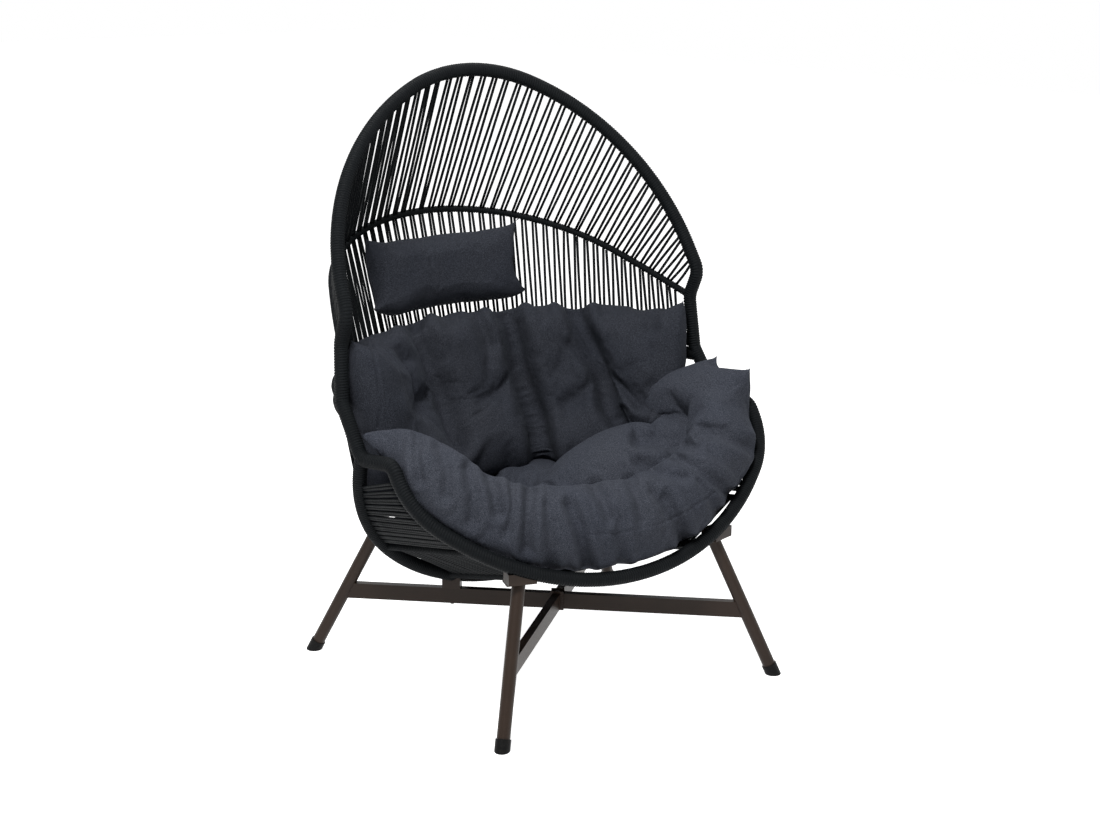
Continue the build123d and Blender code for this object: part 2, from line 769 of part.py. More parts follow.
def basket_parts():
    rim_bare = tube_along(rim, tube_radius + weld_gap, 0)
    rim_wound = tube_along(rim, wrap_radius + cord_gap, 0)
    rib_bare = tube_along(rib, tube_radius + weld_gap, 0)
    rib_wound = tube_along(rib, wrap_radius + cord_gap, 0)
    rods = [(rail, rod_radius), (keel, keel_radius), (mirrored_line(rail), rod_radius), (mirrored_line(keel), keel_radius)]
    rod_ways = [stub for path, radius in rods for stub in stubs(path, radius + pass_gap)]
    rim_ways = stubs(basket_hoop, tube_radius + pass_gap) + stubs(rib, tube_radius + pass_gap) + rod_ways
    rib_ways = stubs(back_hoop, tube_radius + pass_gap) + rod_ways
    holes = seam_bolt_holes()
    bar_bolt_holes = [bar_saddle_bolt_hole(side) for side in (-1, 1)]
    parts = {
        "front_rim": below_seam(frame_tube(rim)),
        "front_rim_winding": below_seam(without(winding(rim), *rim_ways)),
        "basket_seam_hoop": without(frame_tube(basket_hoop), rim_bare, *holes),
        "basket_seam_winding": without(winding(basket_hoop), rim_wound, *holes),
        "cross_rib": without(frame_tube(rib), rim_bare, *bar_bolt_holes),
        "cross_rib_winding": without(winding(rib), rim_wound, *rib_ways, *bar_bolt_holes),
        "back_hoop": without(frame_tube(back_hoop), rib_bare),
        "back_hoop_winding": without(winding(back_hoop), rib_wound),
        "back_cords": back_row(),
        "rear_bottom_cords": rear_bottom_row(),
        "bottom_cords": bottom_row(),
        "seam_bolts": seam_bolts(),
    }
    rods = {
        "side_rail": without(tube_along(rail, rod_radius, rod_radius - rod_wall), rib_bare, rim_bare),
        "side_rail_winding": without(winding(rail, rod_radius + rod_wrap, rod_radius), rib_wound, rim_wound),
        "keel": without(tube_along(keel, keel_radius, keel_radius - rod_wall), rib_bare, rim_bare),
        "keel_winding": without(winding(keel, keel_radius + rod_wrap, keel_radius), rib_wound, rim_wound),
    }
    for name, rod in rods.items():
        parts[f"{name}_left"], parts[f"{name}_right"] = on_both_sides(rod)
    left_cords = side_row()
    parts["side_cords_left"] = left_cords
    parts["side_cords_right"] = [mirror(cord, about=Plane.YZ) for cord in left_cords]
    return parts


def upholstery_parts():
    return {
        "seat_cushion": seat_cushion(),
        "back_cushion": back_cushion(),
        "head_pillow": head_pillow(),
    }


def write_parts(parts):
    for name, shape in parts.items():
        if isinstance(shape, list):
            shape = Compound(children=[piece if isinstance(piece, Solid) else piece.solid() for piece in shape])
        export_step(shape, f"parts/{name}.step")


if __name__ == "__main__":
    os.makedirs("parts", exist_ok=True)
    for group in (base_parts(), hood_parts(), basket_parts(), upholstery_parts()):
        write_parts(group)
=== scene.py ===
import bpy
import bmesh
import math
import numpy as np
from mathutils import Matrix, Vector, kdtree


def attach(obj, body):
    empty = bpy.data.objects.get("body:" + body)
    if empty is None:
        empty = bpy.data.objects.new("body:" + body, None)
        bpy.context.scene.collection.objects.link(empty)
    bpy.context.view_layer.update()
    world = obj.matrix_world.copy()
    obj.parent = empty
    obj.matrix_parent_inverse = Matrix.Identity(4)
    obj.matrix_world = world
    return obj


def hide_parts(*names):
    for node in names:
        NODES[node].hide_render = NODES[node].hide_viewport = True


# The looks of the egg chair: wound and laced cord, powder-coated steel, and soft cushions.
# Metres, in the CAD model's frame: +Z is up, the sitter faces -Y, and +X is to the right from the front.

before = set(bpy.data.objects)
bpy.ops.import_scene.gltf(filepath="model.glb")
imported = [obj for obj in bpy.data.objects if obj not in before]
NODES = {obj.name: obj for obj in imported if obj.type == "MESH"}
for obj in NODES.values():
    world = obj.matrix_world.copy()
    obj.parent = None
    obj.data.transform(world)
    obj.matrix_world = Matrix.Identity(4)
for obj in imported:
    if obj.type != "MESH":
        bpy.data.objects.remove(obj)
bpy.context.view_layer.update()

# Camera, as fitted to the photograph
CAMERA_AZIMUTH = math.radians(-34.23)
CAMERA_ELEVATION = math.radians(14.67)
CAMERA_DISTANCE = 4.599
CAMERA_LENS = 60.94
SENSOR_WIDTH = 36
CAMERA_TARGET = (-0.0012, -0.0792, 0.6513)

# Tubes of the frame, worked out from the same few places as the CAD model's
WRAP_RADIUS = 0.0175
HOOP_WRAP_RADIUS = 0.0095
KEEL_WRAP_RADIUS = 0.012
RAIL_WRAP_RADIUS = 0.009
SEAM_HALF_GAP = 0.0003
SEAM_POINT = np.array((0.527, 0.016, 0.732))
SEAM_BACK_Y = 0.396
POST_CORNER = np.array((0.518, 0.030, 0.870))
POST_BENDS = (0.060, 0.045)
KNEE = np.array((0, -0.004, 0.941))
KNEE_RUN = 0.060
ARCH_RISE = np.array((0, 0.295, 0.5215))
ARCH_TILT = math.radians(5)
ARCH_CROWN_RADIUS = 0.388
ARM_CORNER = np.array((0.530, -0.080, 0.615))
ARM_FRONT = np.array((0.523, -0.214, 0.632))
ARM_BENDS = (0.045, 0.040)
RIM_SLOPE = math.radians(36)
RIM_RUN = 0.026
RIM_DEPTH = 0.372
RIM_CROWN_RADIUS = 0.640
RIB_SLOPE = math.radians(-20.8)
RIB_DEPTH = 0.452
RIB_CROWN_RADIUS = 0.590
MID_HOOP_REACH = np.array((0, 0.460, 0.213))
MID_HOOP_TILT = math.radians(19.3)
MID_HOOP_CROWN_RADIUS = 0.469
BACK_HOOP_BACK = (0, 0.345, 0.384)
BACK_HOOP_ON_RIB = 0.173  # shares of the rib's or the rim's length, from its left end
KEEL_ON_RIB = 0.36
KEEL_ON_RIM = 0.345
RAIL_SHARE = 0.2

# Cord: its winding round the tubes, and the pieces laced between them
TURN_PITCH = 0.0065
GROOVE = 0.0024           # how deep the winding is between two turns
RIDGE_SHARPNESS = 0.7
WINDING_WOBBLE = 0.00012
CORD_RADIUS = 0.0037
CORD_SINK = 0.0035        # how far a laced cord's end goes in between the turns round a tube
CORD_SHIFT = 0.0008       # how uneven the ends of the laced cords are
CORD_BEND = 0.0006
CORD_TWIST_PITCH = 0.0085


# Curves, as arrays of points

def arc_points(start, middle, end, count=160):
    """Points of the circular arc through three places."""
    a, b, c = (np.array(p, float) for p in (start, middle, end))
    u, v = b - a, c - a
    normal = np.cross(u, v)
    centre = a + (np.cross(normal, u) * (v @ v) + np.cross(v, normal) * (u @ u)) / (2 * normal @ normal)
    radius = np.linalg.norm(a - centre)
    x = (a - centre) / radius
    y = np.cross(normal / np.linalg.norm(normal), x)
    sweep = math.atan2((c - centre) @ y, (c - centre) @ x) % (2 * math.pi)
    angles = np.linspace(0, sweep, count)[:, None]
    return centre + radius * (np.cos(angles) * x + np.sin(angles) * y)


def hanging_curve(origin, down, half_width, run, tilt, depth, crown_radius):
    """Two side arcs and a crown arc, tangent to each other and to a straight run from each end."""
    end = np.array((half_width - run * math.sin(tilt), run * math.cos(tilt)))
    inward = np.array((-math.cos(tilt), -math.sin(tilt)))
    crown_centre = np.array((0, depth - crown_radius))
    reach = end - crown_centre
    side_radius = (crown_radius**2 - reach @ reach) / (2 * (inward @ reach + crown_radius))
    side_centre = end + inward * side_radius
    join_way = (crown_centre - side_centre) / np.linalg.norm(crown_centre - side_centre)
    if side_radius < crown_radius:
        join_way = -join_way
    join = crown_centre + join_way * crown_radius
    middle_way = join_way - inward
    side_middle = side_centre + middle_way / np.linalg.norm(middle_way) * side_radius

    def at(point, side):
        return np.array(origin) + np.array((side * point[0], 0, 0)) + np.array(down) * point[1]

    left = arc_points(at(end, -1), at(side_middle, -1), at(join, -1), 60)
    crown = arc_points(at(join, -1), at((0, depth), 1), at(join, 1), 120)
    right = arc_points(at(join, 1), at(side_middle, 1), at(end, 1), 60)
    return np.vstack([left, crown[1:], right[1:]])


def filleted(corners, radii):
    """A polyline with a round bend of the given radius at each inner corner."""
    points = [np.array(corners[0], float)]
    for before, corner, after, radius in zip(corners, corners[1:], corners[2:], radii):
        back = (before - corner) / np.linalg.norm(before - corner)
        on = (after - corner) / np.linalg.norm(after - corner)
        half = math.acos(np.clip(back @ on, -1, 1)) / 2
        reach = radius / math.tan(half)
        bisector = (back + on) / np.linalg.norm(back + on)
        nearest = corner + bisector * (radius / math.sin(half) - radius)
        points += list(arc_points(corner + back * reach, nearest, corner + on * reach, 12))
    points.append(np.array(corners[-1], float))
    return np.array(points)


def mirrored(points):
    return np.array(points)[::-1] * (-1, 1, 1)


def with_sides(curve, corners, radii):
    """A curve with the same filleted stretch before its start and after its end."""
    right = filleted([*corners, curve[-1]], radii)[::-1]
    return np.vstack([mirrored(right)[:-1], curve, right[1:]])


def slope_down(angle):
    return np.array((0, -math.sin(angle), -math.cos(angle)))


arch_height = float(np.linalg.norm(ARCH_RISE))
arch_top = hanging_curve(
    KNEE, ARCH_RISE / arch_height, POST_CORNER[0], KNEE_RUN, ARCH_TILT, arch_height, ARCH_CROWN_RADIUS
)
knee_way = arch_top[-1] - arch_top[-2]
knee_corner = arch_top[-1] + knee_way / np.linalg.norm(knee_way) * KNEE_RUN
post_way = (SEAM_POINT - POST_CORNER) / np.linalg.norm(SEAM_POINT - POST_CORNER)
post_foot = POST_CORNER + post_way * (POST_CORNER[2] - SEAM_POINT[2] - SEAM_HALF_GAP) / -post_way[2]
ARCH = with_sides(arch_top, [post_foot, POST_CORNER, knee_corner], POST_BENDS)
rim_low = hanging_curve(
    ARM_FRONT * (0, 1, 1), slope_down(RIM_SLOPE), ARM_FRONT[0], RIM_RUN, 0, RIM_DEPTH, RIM_CROWN_RADIUS
)
arm_way = (SEAM_POINT - ARM_CORNER) / np.linalg.norm(SEAM_POINT - ARM_CORNER)
arm_head = ARM_CORNER + arm_way * (SEAM_POINT[2] - SEAM_HALF_GAP - ARM_CORNER[2]) / arm_way[2]
RIM = with_sides(rim_low, [arm_head, ARM_CORNER, ARM_FRONT], ARM_BENDS)
RIB = hanging_curve(
    ARM_CORNER * (0, 1, 1), slope_down(RIB_SLOPE), ARM_CORNER[0], 0, 0, RIB_DEPTH, RIB_CROWN_RADIUS
)


def level_hoop(z, other):
    end = SEAM_POINT + (other - SEAM_POINT) * ((z - SEAM_POINT[2]) / (other[2] - SEAM_POINT[2]))
    return arc_points((-end[0], end[1], z), (0, SEAM_BACK_Y, z), (end[0], end[1], z), 200)


HOOD_HOOP = level_hoop(SEAM_POINT[2] + SEAM_HALF_GAP + WRAP_RADIUS, POST_CORNER)
BASKET_HOOP = level_hoop(SEAM_POINT[2] - SEAM_HALF_GAP - WRAP_RADIUS, ARM_CORNER)
mid_depth = float(np.linalg.norm(MID_HOOP_REACH))
MIDDLE_HOOP = hanging_curve(
    POST_CORNER * (0, 1, 1),
    MID_HOOP_REACH / mid_depth,
    POST_CORNER[0],
    0,
    MID_HOOP_TILT,
    mid_depth,
    MID_HOOP_CROWN_RADIUS,
)


def at_share(points, share):
    """The place at a share of a curve's length."""
    steps = np.linalg.norm(np.diff(points, axis=0), axis=1)
    run = np.concatenate([[0], np.cumsum(steps)])
    return np.array([np.interp(share * run[-1], run, points[:, axis]) for axis in range(3)])


back_hoop_end = at_share(RIB, 1 - BACK_HOOP_ON_RIB)
BACK_HOOP = arc_points(back_hoop_end * (-1, 1, 1), BACK_HOOP_BACK, back_hoop_end, 200)
KEEL = np.array([at_share(RIB, KEEL_ON_RIB), at_share(rim_low, KEEL_ON_RIM)])
RAIL = np.array([at_share(RIB, RAIL_SHARE), at_share(rim_low, RAIL_SHARE)])


# Meshes

def mesh_object(name, points, faces, smooth=True):
    mesh = bpy.data.meshes.new(name)
    mesh.from_pydata([tuple(p) for p in points], [], [tuple(f) for f in faces])
    mesh.update()
    if smooth:
        mesh.shade_smooth()
    piece = bpy.data.objects.new(name, mesh)
    bpy.context.scene.collection.objects.link(piece)
    return piece


def resampled(points, step):
    """Points at even steps along a curve, and how far along it each lies."""
    steps = np.linalg.norm(np.diff(points, axis=0), axis=1)
    run = np.concatenate([[0], np.cumsum(steps)])
    places = np.linspace(0, run[-1], max(2, int(round(run[-1] / step)) + 1))
    return np.array([np.interp(places, run, points[:, axis]) for axis in range(3)]).T, places


def carried_frames(points):
    """Tangent and two cross directions at each point, carried along without twisting."""
    ways = np.gradient(points, axis=0)
    ways /= np.linalg.norm(ways, axis=1)[:, None]
    side = np.cross(ways[0], (0, 0, 1))
    if np.linalg.norm(side) < 0.1:
        side = np.cross(ways[0], (1, 0, 0))
    sides = []
    for way in ways:
        side = side - way * (side @ way)
        side = side / np.linalg.norm(side)
        sides.append(side)
    sides = np.array(sides)
    return ways, sides, np.cross(ways, sides)


def ring_faces(rings, around):
    first = np.arange(around)
    after = (first + 1) % around
    faces = []
    for ring in range(rings - 1):
        low, high = ring * around, (ring + 1) * around
        faces += list(zip(low + first, low + after, high + after, high + first))
    faces.append(tuple(range(around))[::-1])
    faces.append(tuple(range((rings - 1) * around, rings * around)))
    return faces


def wound_tube(name, path, radius, node, around=14, turn_steps=6):
    """Cord wound tightly round a tube: a surface with one smooth ridge for each turn of the helix."""
    points, places = resampled(path, TURN_PITCH / turn_steps)
    ways, sides, ups = carried_frames(points)
    angles = np.linspace(0, 2 * math.pi, around, endpoint=False)
    phase = places[:, None] / TURN_PITCH - angles[None, :] / (2 * math.pi)
    wobble = np.random.default_rng(len(points)).normal(0, WINDING_WOBBLE, phase.shape)
    ridge = np.abs(np.cos(math.pi * phase)) ** RIDGE_SHARPNESS
    size = radius - GROOVE * (1 - ridge) + wobble
    sideways = np.cos(angles)[None, :, None] * sides[:, None, :]
    across = sideways + np.sin(angles)[None, :, None] * ups[:, None, :]
    verts = points[:, None, :] + size[:, :, None] * across
    piece = mesh_object(name, verts.reshape(-1, 3), ring_faces(len(points), around))
    piece.data.materials.append(wound_cord)
    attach(piece, "root")
    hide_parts(node)


def cord_ends(node):
    """Both ends of each laced cord of a CAD node, read from its mesh."""
    copy = bmesh.new()
    copy.from_mesh(NODES[node].data)
    bmesh.ops.remove_doubles(copy, verts=copy.verts, dist=1e-5)
    copy.verts.ensure_lookup_table()
    left = set(range(len(copy.verts)))
    ends = []
    while left:
        stack = [left.pop()]
        island = []
        while stack:
            place = stack.pop()
            island.append(copy.verts[place].co[:])
            for edge in copy.verts[place].link_edges:
                other = edge.other_vert(copy.verts[place]).index
                if other in left:
                    left.discard(other)
                    stack.append(other)
        points = np.array(island)
        middle = points.mean(axis=0)
        way = np.linalg.svd(points - middle)[2][0]
        reach = (points - middle) @ way
        ends.append((middle + way * reach.min(), middle + way * reach.max()))
    copy.free()
    return ends


def laced_cords(name, node, seed, around=8, rings=6):
    """A CAD node's taut cords as twisted cord, each a little off its even place."""
    chance = np.random.default_rng(seed)
    verts, faces, twist = [], [], []
    for start, end in cord_ends(node):
        way = (end - start) / np.linalg.norm(end - start)
        side = np.cross(way, (0.3, 0.2, 1))
        side = side / np.linalg.norm(side)
        up = np.cross(way, side)
        start = start - way * CORD_SINK + side * chance.normal(0, CORD_SHIFT)
        end = end + way * CORD_SINK + side * chance.normal(0, CORD_SHIFT)
        nudge = side * chance.normal(0, CORD_BEND) + up * chance.normal(0, CORD_BEND)
        length = np.linalg.norm(end - start)
        base = len(verts)
        for ring in range(rings):
            share = ring / (rings - 1)
            centre = start + way * (share * length) + nudge * math.sin(math.pi * share)
            for step in range(around):
                angle = 2 * math.pi * step / around
                verts.append(centre + CORD_RADIUS * (math.cos(angle) * side + math.sin(angle) * up))
        for face in ring_faces(rings, around):
            faces.append(tuple(base + corner for corner in face))
            for corner in face:
                ring, step = divmod(corner, around)
                wraps = step == 0 and max(c % around for c in face) == around - 1 and len(face) == 4
                twist.append(((step + (around if wraps else 0)) / around, ring / (rings - 1) * length))
    piece = mesh_object(name, verts, faces)
    layer = piece.data.uv_layers.new(name="twist")
    layer.data.foreach_set("uv", np.array(twist, np.float32).ravel())
    piece.data.materials.append(laced_cord)
    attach(piece, "root")
    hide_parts(node)


# Materials

def new_material(name):
    material = bpy.data.materials.new(name)
    material.use_nodes = True
    nodes = material.node_tree.nodes
    nodes.clear()
    out = nodes.new("ShaderNodeOutputMaterial")
    shader = nodes.new("ShaderNodeBsdfPrincipled")
    material.node_tree.links.new(shader.outputs["BSDF"], out.inputs["Surface"])
    return material, nodes, material.node_tree.links, shader


def noise(nodes, links, where, scale, detail=2.0, roughness=0.5):
    node = nodes.new("ShaderNodeTexNoise")
    node.inputs["Scale"].default_value = scale
    node.inputs["Detail"].default_value = detail
    node.inputs["Roughness"].default_value = roughness
    links.new(where, node.inputs["Vector"])
    return node.outputs["Fac"]


def ramp(nodes, links, value, stops):
    node = nodes.new("ShaderNodeValToRGB")
    links.new(value, node.inputs["Fac"])
    elements = node.color_ramp.elements
    while len(elements) < len(stops):
        elements.new(0.5)
    for element, (place, color) in zip(elements, stops):
        element.position = place
        element.color = (*color, 1) if len(color) == 3 else color
    return node.outputs["Color"]


def mixed(nodes, links, mode, factor, one, other):
    node = nodes.new("ShaderNodeMix")
    node.data_type = "RGBA"
    node.blend_type = mode
    node.inputs[0].default_value = factor
    for socket, value in ((node.inputs[6], one), (node.inputs[7], other)):
        if isinstance(value, tuple):
            socket.default_value = (*value, 1)
        else:
            links.new(value, socket)
    return node.outputs[2]


def math_node(nodes, links, operation, one, other):
    node = nodes.new("ShaderNodeMath")
    node.operation = operation
    for socket, value in zip(node.inputs, (one, other)):
        if isinstance(value, (int, float)):
            socket.default_value = value
        else:
            links.new(value, socket)
    return node.outputs[0]


def bumped(nodes, links, shader, height, strength, distance):
    node = nodes.new("ShaderNodeBump")
    node.inputs["Strength"].default_value = strength
    node.inputs["Distance"].default_value = distance
    links.new(height, node.inputs["Height"])
    links.new(node.outputs["Normal"], shader.inputs["Normal"])


def coordinates(nodes, kind="Object"):
    return nodes.new("ShaderNodeTexCoord").outputs[kind]


def make_powder_coat():
    """Dark bronze powder coat with a fine grain and slightly lighter worn edges."""
    material, nodes, links, shader = new_material("bronze_powder_coat")
    where = coordinates(nodes)
    broad = noise(nodes, links, where, 9, 3)
    fine = noise(nodes, links, where, 1400, 2, 0.6)
    tone = ramp(nodes, links, broad, [(0.3, (0.015, 0.0088, 0.006)), (0.7, (0.023, 0.0138, 0.0093))])
    grain = ramp(nodes, links, fine, [(0.35, (0.8, 0.8, 0.8)), (0.65, (1.15, 1.13, 1.1))])
    color = mixed(nodes, links, "MULTIPLY", 1.0, tone, grain)
    edge = nodes.new("ShaderNodeNewGeometry").outputs["Pointiness"]
    worn = ramp(nodes, links, edge, [(0.56, (0, 0, 0)), (0.66, (0.03, 0.022, 0.018))])
    color = mixed(nodes, links, "ADD", 0.5, color, worn)
    links.new(color, shader.inputs["Base Color"])
    rough = ramp(nodes, links, fine, [(0.3, (0.3, 0.3, 0.3)), (0.7, (0.42, 0.42, 0.42))])
    links.new(rough, shader.inputs["Roughness"])
    shader.inputs["Specular IOR Level"].default_value = 0.16
    bumped(nodes, links, shader, fine, 0.25, 0.0004)
    return material


def make_plastic():
    """Moulded black plastic of the foot caps, with scuffs at random all over."""
    material, nodes, links, shader = new_material("black_plastic")
    where = coordinates(nodes)
    fine = noise(nodes, links, where, 900, 3, 0.6)
    scuff = noise(nodes, links, where, 160, 4, 0.7)
    tone = ramp(nodes, links, scuff, [(0.45, (0.003, 0.003, 0.0033)), (0.75, (0.010, 0.0097, 0.0095))])
    links.new(tone, shader.inputs["Base Color"])
    rough = ramp(nodes, links, fine, [(0.3, (0.42, 0.42, 0.42)), (0.7, (0.6, 0.6, 0.6))])
    links.new(rough, shader.inputs["Roughness"])
    shader.inputs["Specular IOR Level"].default_value = 0.1
    bumped(nodes, links, shader, fine, 0.2, 0.0004)
    return material


def make_bolt_steel():
    """Blackened steel of the bolts and the nut."""
    material, nodes, links, shader = new_material("blackened_steel")
    where = coordinates(nodes)
    fine = noise(nodes, links, where, 1100, 3, 0.6)
    tone = ramp(nodes, links, fine, [(0.3, (0.05, 0.045, 0.042)), (0.7, (0.12, 0.11, 0.10))])
    links.new(tone, shader.inputs["Base Color"])
    rough = ramp(nodes, links, fine, [(0.3, (0.3, 0.3, 0.3)), (0.7, (0.46, 0.46, 0.46))])
    links.new(rough, shader.inputs["Roughness"])
    shader.inputs["Metallic"].default_value = 0.9
    bumped(nodes, links, shader, fine, 0.15, 0.0003)
    return material


def make_cord(name, twisted):
    """Charcoal outdoor cord with faint fibres, and on the laced cords a visible twist with painted shade in
    its grooves and a painted highlight on its strands.
    """
    material, nodes, links, shader = new_material(name)
    where = coordinates(nodes)
    fibres = noise(nodes, links, where, 1600, 3, 0.65)
    broad = noise(nodes, links, where, 22, 3)
    tones = [(0.3, (0.0025, 0.0031, 0.0036)), (0.72, (0.0085, 0.0102, 0.0118))]
    tone = ramp(nodes, links, fibres, tones)
    age = ramp(nodes, links, broad, [(0.3, (0.8, 0.8, 0.82)), (0.7, (1.15, 1.15, 1.12))])
    color = mixed(nodes, links, "MULTIPLY", 1.0, tone, age)
    height = fibres
    if twisted:
        split = nodes.new("ShaderNodeSeparateXYZ")
        links.new(coordinates(nodes, "UV"), split.inputs[0])
        along = math_node(nodes, links, "MULTIPLY", split.outputs[1], 2 * math.pi / CORD_TWIST_PITCH)
        around = math_node(nodes, links, "MULTIPLY", split.outputs[0], 2 * math.pi * 2)
        wave = math_node(nodes, links, "SINE", math_node(nodes, links, "ADD", along, around), 0)
        # Painted shade and highlight: along the twist the colour is darker in the grooves and lighter on
        # the strands, in step with the bump
        share = math_node(nodes, links, "MULTIPLY_ADD", wave, 0.5)
        twist_painted_shade = ramp(nodes, links, share, [(0.0, (0.7,) * 3), (0.5, (1.1,) * 3)])
        color = mixed(nodes, links, "MULTIPLY", 0.8, color, twist_painted_shade)
        height = math_node(nodes, links, "ADD", math_node(nodes, links, "MULTIPLY", wave, 0.6), fibres)
    links.new(color, shader.inputs["Base Color"])
    shader.inputs["Roughness"].default_value = 0.6
    shader.inputs["Specular IOR Level"].default_value = 0.07
    bumped(nodes, links, shader, height, 0.6, 0.0006)
    return material


def make_fabric(name, painted_shade_factor):
    """Heathered slate fabric: a fine plain weave of light and dark threads, with soft sheen, darkened by a
    factor of painted shade.
    """
    material, nodes, links, shader = new_material(name)
    where = coordinates(nodes)
    threads = noise(nodes, links, where, 720, 3, 0.65)
    flecks = noise(nodes, links, where, 420, 3, 0.75)
    broad = noise(nodes, links, where, 6, 3)
    base = ramp(nodes, links, threads, [(0.36, (0.016, 0.0185, 0.024)), (0.66, (0.072, 0.078, 0.098))])
    fleck = ramp(nodes, links, flecks, [(0.38, (0.66, 0.67, 0.69)), (0.66, (1.42, 1.4, 1.38))])
    color = mixed(nodes, links, "MULTIPLY", 1.0, base, fleck)
    patches = ramp(nodes, links, broad, [(0.3, (0.93, 0.94, 0.96)), (0.7, (1.06, 1.05, 1.03))])
    color = mixed(nodes, links, "MULTIPLY", 1.0, color, patches)
    # Painted shade: darkens the whole fabric by a factor, for the copy on the cushions that lie in shade
    color = mixed(nodes, links, "MULTIPLY", 1.0, color, (painted_shade_factor, painted_shade_factor, painted_shade_factor))
    links.new(color, shader.inputs["Base Color"])
    shader.inputs["Roughness"].default_value = 0.85
    shader.inputs["Specular IOR Level"].default_value = 0.08
    shader.inputs["Sheen Weight"].default_value = 0.02
    shader.inputs["Sheen Roughness"].default_value = 0.4
    shader.inputs["Sheen Tint"].default_value = (0.6, 0.68, 0.8, 1)
    weave = None
    for direction in ("X", "Y", "Z"):
        wave = nodes.new("ShaderNodeTexWave")
        wave.bands_direction = direction
        wave.inputs["Scale"].default_value = 190
        wave.inputs["Distortion"].default_value = 1.2
        wave.inputs["Detail Scale"].default_value = 2.0
        links.new(where, wave.inputs["Vector"])
        bands = wave.outputs["Fac"]
        weave = bands if weave is None else math_node(nodes, links, "ADD", weave, bands)
    height = math_node(nodes, links, "ADD", math_node(nodes, links, "MULTIPLY", weave, 0.35), threads)
    bumped(nodes, links, shader, height, 0.5, 0.0006)
    return material


# Painted shade: the back cushion and the pillow get a darker copy of the seat cushion's fabric, for the
# shade they lie in under the hood
BACK_PAINTED_SHADE = 0.66

powder_coat = make_powder_coat()
plastic = make_plastic()
bolt_steel = make_bolt_steel()
wound_cord = make_cord("wound_cord_charcoal", False)
laced_cord = make_cord("laced_cord_charcoal", True)
seat_fabric = make_fabric("heathered_fabric", 1.0)
painted_shade_fabric = make_fabric("heathered_fabric_painted_shade", BACK_PAINTED_SHADE)


def dress_frame():
    """The CAD steel, plastic and bolts keep their solids and get their finish."""
    for name, node in NODES.items():
        if name.startswith("foot_cap"):
            finish = plastic
        elif "bolt" in name or "nut" in name:
            finish = bolt_steel
        else:
            finish = powder_coat
        node.data.materials.clear()
        node.data.materials.append(finish)


dress_frame()
wound_tube("arch_wrap", ARCH, WRAP_RADIUS, "arch_winding")
wound_tube("hood_seam_wrap", HOOD_HOOP, WRAP_RADIUS, "hood_seam_winding")
wound_tube("basket_seam_wrap", BASKET_HOOP, WRAP_RADIUS, "basket_seam_winding")
wound_tube("middle_hoop_wrap", MIDDLE_HOOP, HOOP_WRAP_RADIUS, "middle_hoop_winding", around=10)
wound_tube("front_rim_wrap", RIM, WRAP_RADIUS, "front_rim_winding")
wound_tube("cross_rib_wrap", RIB, WRAP_RADIUS, "cross_rib_winding")
wound_tube("back_hoop_wrap", BACK_HOOP, WRAP_RADIUS, "back_hoop_winding")
for side, keel, rail in (("left", KEEL, RAIL), ("right", mirrored(KEEL), mirrored(RAIL))):
    wound_tube(f"keel_wrap_{side}", keel, KEEL_WRAP_RADIUS, f"keel_winding_{side}", around=10)
    wound_tube(f"rail_wrap_{side}", rail, RAIL_WRAP_RADIUS, f"side_rail_winding_{side}", around=10)

CORD_ROWS = (
    "upper_cords",
    "lower_cords",
    "back_cords",
    "rear_bottom_cords",
    "bottom_cords",
    "side_cords_left",
    "side_cords_right",
)
FIRST_SEED = 10
for place, row in enumerate(CORD_ROWS):
    laced_cords(f"{row}_laced", row, FIRST_SEED + place)


# Cushions: each starts as a plump form, is creased where the photograph shows it, and is then stuffed by a
# short cloth simulation. Lines in the photograph are in its pixels.

CLOTH_FRAMES = 20
CLOTH_GRAIN = 0.0075
PILLOW_GRAIN = 0.005
PUCKER = 0.3              # how far the cloth beside a crease stands up, as a share of the crease's depth
FIRM_DEPTH = 0.012        # a crease this deep or deeper holds the cloth fully while it is stuffed
WRAP_CLEARANCE = 0.002    # from the cushions to the windings that they lie against
PHOTO_SIZE = (1100, 824)
PHOTO_FOCAL = PHOTO_SIZE[0] * CAMERA_LENS / SENSOR_WIDTH
CAMERA_BACK = np.array((
    math.sin(CAMERA_AZIMUTH) * math.cos(CAMERA_ELEVATION),
    -math.cos(CAMERA_AZIMUTH) * math.cos(CAMERA_ELEVATION),
    math.sin(CAMERA_ELEVATION),
))
CAMERA_RIGHT = np.array((math.cos(CAMERA_AZIMUTH), math.sin(CAMERA_AZIMUTH), 0))
CAMERA_UP = np.cross(CAMERA_BACK, CAMERA_RIGHT)

# The back cushion turns round the wall's middle line; each lobe's foot is turned sideways by some degrees
WALL_CENTRE_Y = -0.1594
TWIST_FROM = (-76, -62, -28, 12, 36, 64, 76)
TWIST_BY = (0, 0, 0, 9, 22, 8, 0)
TWIST_TOP = 0.80
TWIST_FOOT = 0.52

# The back cushion's section: shares of its thickness outwards, of its height upwards and of its toe inwards
BACK_SECTION = (
    (0.49, -0.38, 0),
    (0.5, 0, 0),
    (0.49, 0.34, 0),
    (0.3, 0.48, 0),
    (-0.05, 0.5, 0),
    (-0.36, 0.43, 0),
    (-0.47, 0.22, 0),
    (-0.48, -0.06, 0.2),
    (-0.5, -0.27, 0.65),
    (-0.5, -0.43, 1),
    (-0.4, -0.54, 0.9),
    (0, -0.53, 0.3),
    (0.36, -0.49, 0),
)
BACK_RADIUS = 0.452
BACK_MIDDLE_Z = 0.642
BACK_THICK = 0.126
BACK_HEIGHT = 0.396
BACK_TOE = 0.082
BACK_TIP = math.radians(10)
BACK_END = 73.5           # half its sweep in degrees
BACK_END_FADE = 9
BACK_END_THINNING = 1.7
BACK_CHANNELS = (-62, -28, 12, 36, 64)
CHANNEL_THINNING = (0.32, 0.05, 0.55)   # of the thickness, the height and the toe

